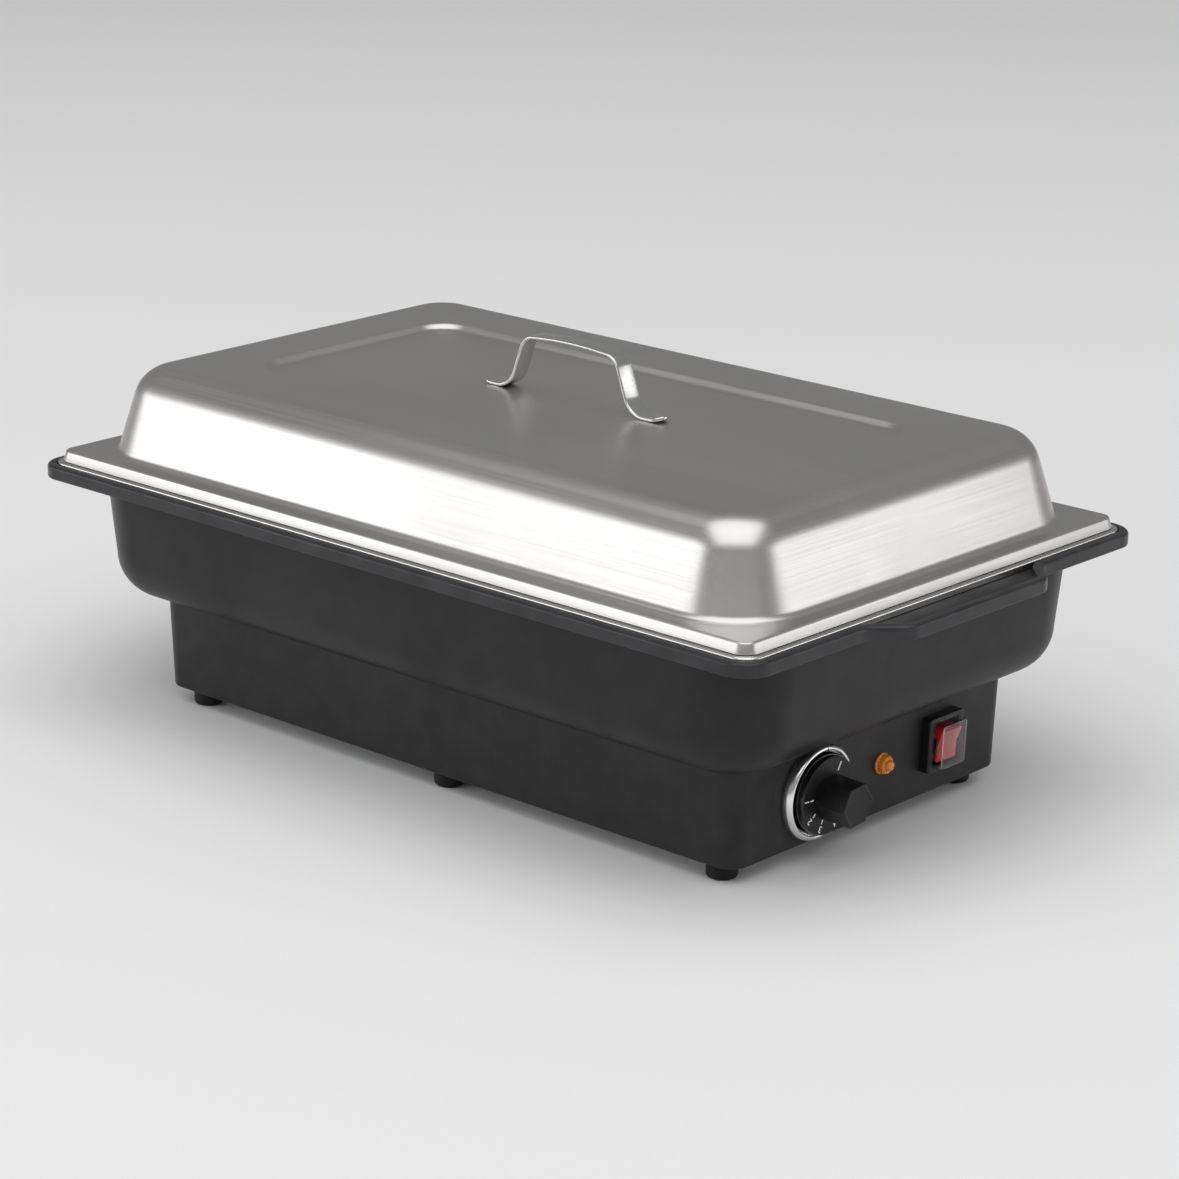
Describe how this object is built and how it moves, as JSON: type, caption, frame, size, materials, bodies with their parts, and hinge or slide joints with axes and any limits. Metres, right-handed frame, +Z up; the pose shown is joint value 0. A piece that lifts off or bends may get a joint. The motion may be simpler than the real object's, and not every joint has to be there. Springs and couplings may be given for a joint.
{
  "type": "electric buffet server",
  "caption": "Electric buffet server: a lidded steel food pan in a black water tank on a heated base, with thermostat knob, pilot lamp and covered mains switch.",
  "frame": {"origin": "bottom centre, with the feet standing on Z = 0", "axes": "+X along the long side towards the control panel, +Z up"},
  "size_m": [0.576, 0.337, 0.2376],
  "materials": {
    "tank_plastic": "satin black moulding",
    "housing_plastic": "satin black moulding",
    "foot_rubber": "matt black",
    "plated_steel": "zinc plated",
    "plate_steel": "galvanised sheet",
    "heater_steel": "brushed",
    "silicone": "red silicone",
    "element_sheath": "heat-tinted",
    "ceramic_white": "glazed",
    "shield_aluminium": "bright sheet",
    "phenolic": "dark brown",
    "copper": "drawn copper",
    "knob_plastic": "matt black with printed marks",
    "bezel_chrome": "polished",
    "spring_steel": "bright",
    "lens_amber": "clear amber",
    "part_plastic": "dark grey",
    "switch_plastic": "semi-gloss black",
    "rocker_red": "translucent red",
    "cover_clear": "clear flexible cover",
    "terminal_plastic": "cream",
    "brass": "turned",
    "wire_brown": "insulation",
    "wire_blue": "insulation",
    "wire_earth": "green and yellow insulation",
    "pan_steel": "pressed stainless",
    "lid_steel": "brushed stainless",
    "handle_steel": "polished stainless"
  },
  "bodies": {
    "root": {"water_tank": "tank_plastic", "base_housing": "housing_plastic", "bottom_plate": "plate_steel", "foot_1": "foot_rubber", "foot_2": "foot_rubber", "foot_3": "foot_rubber", "foot_4": "foot_rubber", "foot_5": "foot_rubber", "foot_6": "foot_rubber", "foot_screws": "plated_steel", "plate_screws": "plated_steel", "tank_screws": "plated_steel", "heater_plate": "heater_steel", "heater_gasket": "silicone", "heater_clamp_ring": "plate_steel", "heater_nuts": "plated_steel", "heating_element": "element_sheath", "element_terminals": "ceramic_white", "heat_shield": "shield_aluminium", "shield_pillars": "plated_steel", "thermal_cutout": "phenolic", "cutout_bracket": "plate_steel", "sensor_bulb": "copper", "bulb_clip": "plate_steel", "capillary_tube": "copper", "thermostat_body": "part_plastic", "thermostat_screws": "plated_steel", "thermostat_tabs": "plated_steel", "knob_bezel": "bezel_chrome", "pilot_lens": "lens_amber", "pilot_body": "part_plastic", "pilot_nut": "part_plastic", "pilot_tabs": "plated_steel", "switch_frame": "switch_plastic", "switch_body": "part_plastic", "switch_tabs": "plated_steel", "splash_cover": "cover_clear", "cord_gland": "part_plastic", "gland_nut": "part_plastic", "terminal_block": "terminal_plastic", "terminal_screws": "plated_steel", "earth_stud": "brass", "live_wire": "wire_brown", "neutral_wire": "wire_blue", "earth_wire": "wire_earth"},
    "pan": {"food_pan": "pan_steel"},
    "lid": {"lid_shell": "lid_steel", "lid_handle": "handle_steel"},
    "knob": {"knob_grip": "knob_plastic", "knob_clip": "spring_steel", "thermostat_shaft": "spring_steel"},
    "rocker": {"rocker": "rocker_red"}
  },
  "joints": [
    {"name": "pan_lift", "type": "slide", "parent": "root", "child": "pan", "axis": [0, 0, 1], "range_m": [0, 0.15]},
    {"name": "lid_lift", "type": "slide", "parent": "pan", "child": "lid", "axis": [0, 0, 1], "range_m": [0, 0.2]},
    {"name": "knob_turn", "type": "hinge", "parent": "root", "child": "knob", "pos_m": [0.22119, -0.0524, 0.0403], "axis": [-0.9992, 0, 0.0405], "range_deg": [0, 250]},
    {"name": "rocker_tip", "type": "hinge", "parent": "root", "child": "rocker", "pos_m": [0.22563, 0.0552, 0.04132], "axis": [0, -1, 0], "range_deg": [0, 20]}
  ]
}
